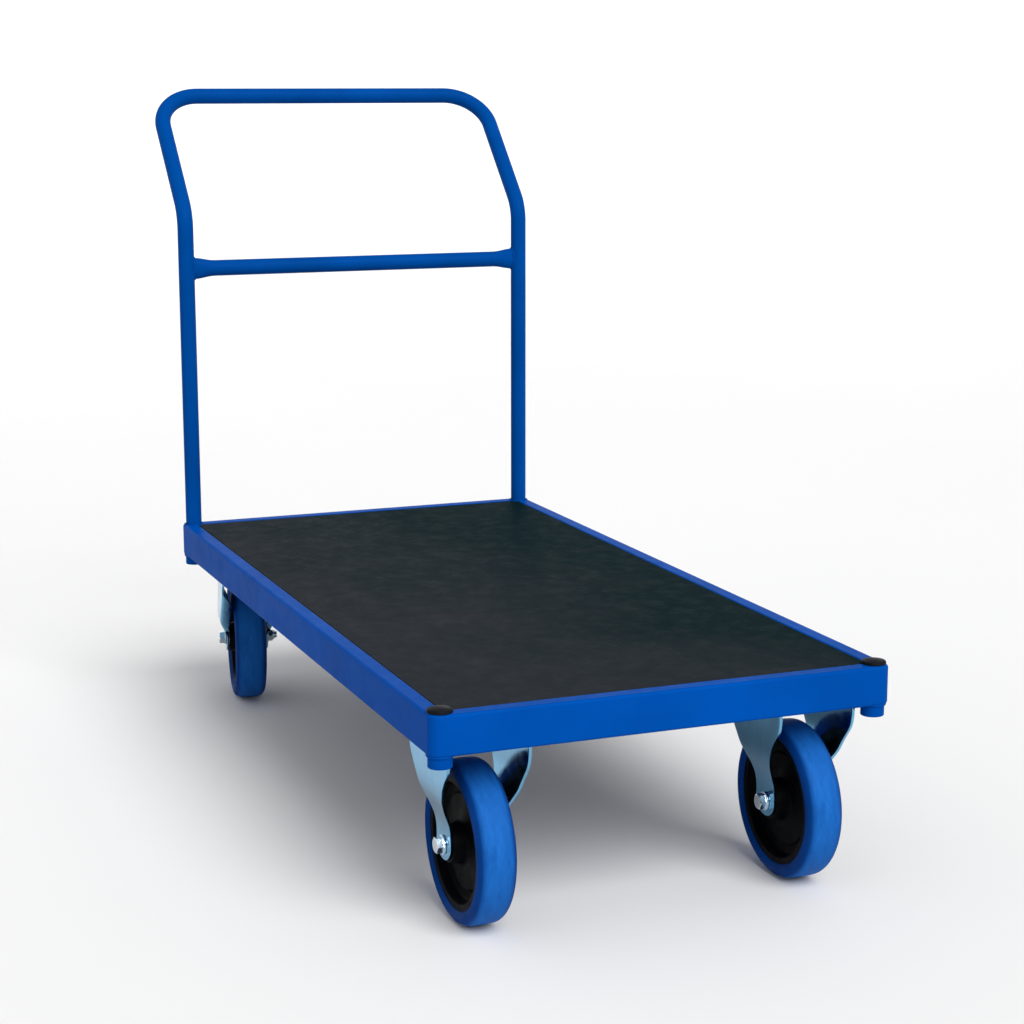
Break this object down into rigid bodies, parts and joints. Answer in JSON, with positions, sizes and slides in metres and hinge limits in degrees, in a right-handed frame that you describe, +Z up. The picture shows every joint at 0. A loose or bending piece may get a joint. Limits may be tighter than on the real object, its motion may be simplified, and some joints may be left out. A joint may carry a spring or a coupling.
{
  "type": "platform cart",
  "caption": "Four-wheeled platform cart: steel frame round an anti-slip deck, bent-tube push handle in corner sockets, fixed front and swivelling rear casters.",
  "frame": {"origin": "on the floor, under the middle of the whole cart with its handle", "axes": "+X forward, away from the handle; +Y to the pusher's left; +Z up"},
  "size_m": [1.3736, 0.6, 0.9821],
  "materials": {
    "frame_paint": "smooth semi-gloss blue powder coat",
    "handle_paint": "smooth semi-gloss blue powder coat",
    "deck_board": "dark phenolic film with a fine anti-slip pattern",
    "cap_plastic": "moulded, satin",
    "blue_tyre": "elastic solid rubber, satin",
    "wheel_centre": "moulded polyamide",
    "zinc_sheet": "zinc plated pressed steel",
    "steel_fasteners": "bright zinc plated",
    "bearing_steel": "bearing steel, lightly greased"
  },
  "bodies": {
    "platform": {"side_rail_left": "frame_paint", "side_rail_right": "frame_paint", "end_rail_front": "frame_paint", "end_rail_rear": "frame_paint", "corner_front_left": "frame_paint", "socket_tube_front_left": "frame_paint", "corner_front_right": "frame_paint", "socket_tube_front_right": "frame_paint", "corner_rear_left": "frame_paint", "socket_tube_rear_left": "frame_paint", "corner_rear_right": "frame_paint", "socket_tube_rear_right": "frame_paint", "deck_board": "deck_board", "caster_channel_front": "frame_paint", "caster_channel_rear": "frame_paint", "deck_beam_front": "frame_paint", "deck_beam_rear": "frame_paint", "socket_cap_left": "cap_plastic", "socket_cap_right": "cap_plastic", "front_left_bracket": "zinc_sheet", "front_left_sleeve": "steel_fasteners", "front_left_axle_bolt": "steel_fasteners", "front_left_axle_nut": "steel_fasteners", "rear_left_top_plate": "zinc_sheet", "rear_left_ball_race": "bearing_steel", "rear_left_king_pin": "steel_fasteners", "front_right_bracket": "zinc_sheet", "front_right_sleeve": "steel_fasteners", "front_right_axle_bolt": "steel_fasteners", "front_right_axle_nut": "steel_fasteners", "rear_right_top_plate": "zinc_sheet", "rear_right_ball_race": "bearing_steel", "rear_right_king_pin": "steel_fasteners"},
    "handle": {"handle_hoop": "handle_paint", "handle_crossbar": "handle_paint"},
    "front_left_wheel": {"front_left_tyre": "blue_tyre", "front_left_centre": "wheel_centre", "front_left_bearing": "bearing_steel"},
    "front_right_wheel": {"front_right_tyre": "blue_tyre", "front_right_centre": "wheel_centre", "front_right_bearing": "bearing_steel"},
    "rear_left_fork": {"rear_left_fork": "zinc_sheet", "rear_left_sleeve": "steel_fasteners", "rear_left_axle_bolt": "steel_fasteners", "rear_left_axle_nut": "steel_fasteners"},
    "rear_left_wheel": {"rear_left_tyre": "blue_tyre", "rear_left_centre": "wheel_centre", "rear_left_bearing": "bearing_steel"},
    "rear_right_fork": {"rear_right_fork": "zinc_sheet", "rear_right_sleeve": "steel_fasteners", "rear_right_axle_bolt": "steel_fasteners", "rear_right_axle_nut": "steel_fasteners"},
    "rear_right_wheel": {"rear_right_tyre": "blue_tyre", "rear_right_centre": "wheel_centre", "rear_right_bearing": "bearing_steel"}
  },
  "joints": [
    {"name": "handle_lift", "type": "slide", "parent": "platform", "child": "handle", "axis": [0, 0, 1], "range_m": [0, 0.12]},
    {"name": "front_left_wheel_spin", "type": "hinge", "parent": "platform", "child": "front_left_wheel", "pos_m": [0.58596, 0.216, 0.1], "axis": [0, 1, 0], "continuous": true},
    {"name": "front_right_wheel_spin", "type": "hinge", "parent": "platform", "child": "front_right_wheel", "pos_m": [0.58596, -0.216, 0.1], "axis": [0, 1, 0], "continuous": true},
    {"name": "rear_left_swivel", "type": "hinge", "parent": "platform", "child": "rear_left_fork", "pos_m": [-0.41804, 0.216, 0.22], "axis": [0, 0, 1], "continuous": true},
    {"name": "rear_left_wheel_spin", "type": "hinge", "parent": "rear_left_fork", "child": "rear_left_wheel", "pos_m": [-0.47909, 0.22677, 0.1], "axis": [0.1736, 0.9848, 0], "continuous": true},
    {"name": "rear_right_swivel", "type": "hinge", "parent": "platform", "child": "rear_right_fork", "pos_m": [-0.41804, -0.216, 0.22], "axis": [0, 0, 1], "continuous": true},
    {"name": "rear_right_wheel_spin", "type": "hinge", "parent": "rear_right_fork", "child": "rear_right_wheel", "pos_m": [-0.47909, -0.20523, 0.1], "axis": [0.1736, 0.9848, 0], "continuous": true}
  ]
}
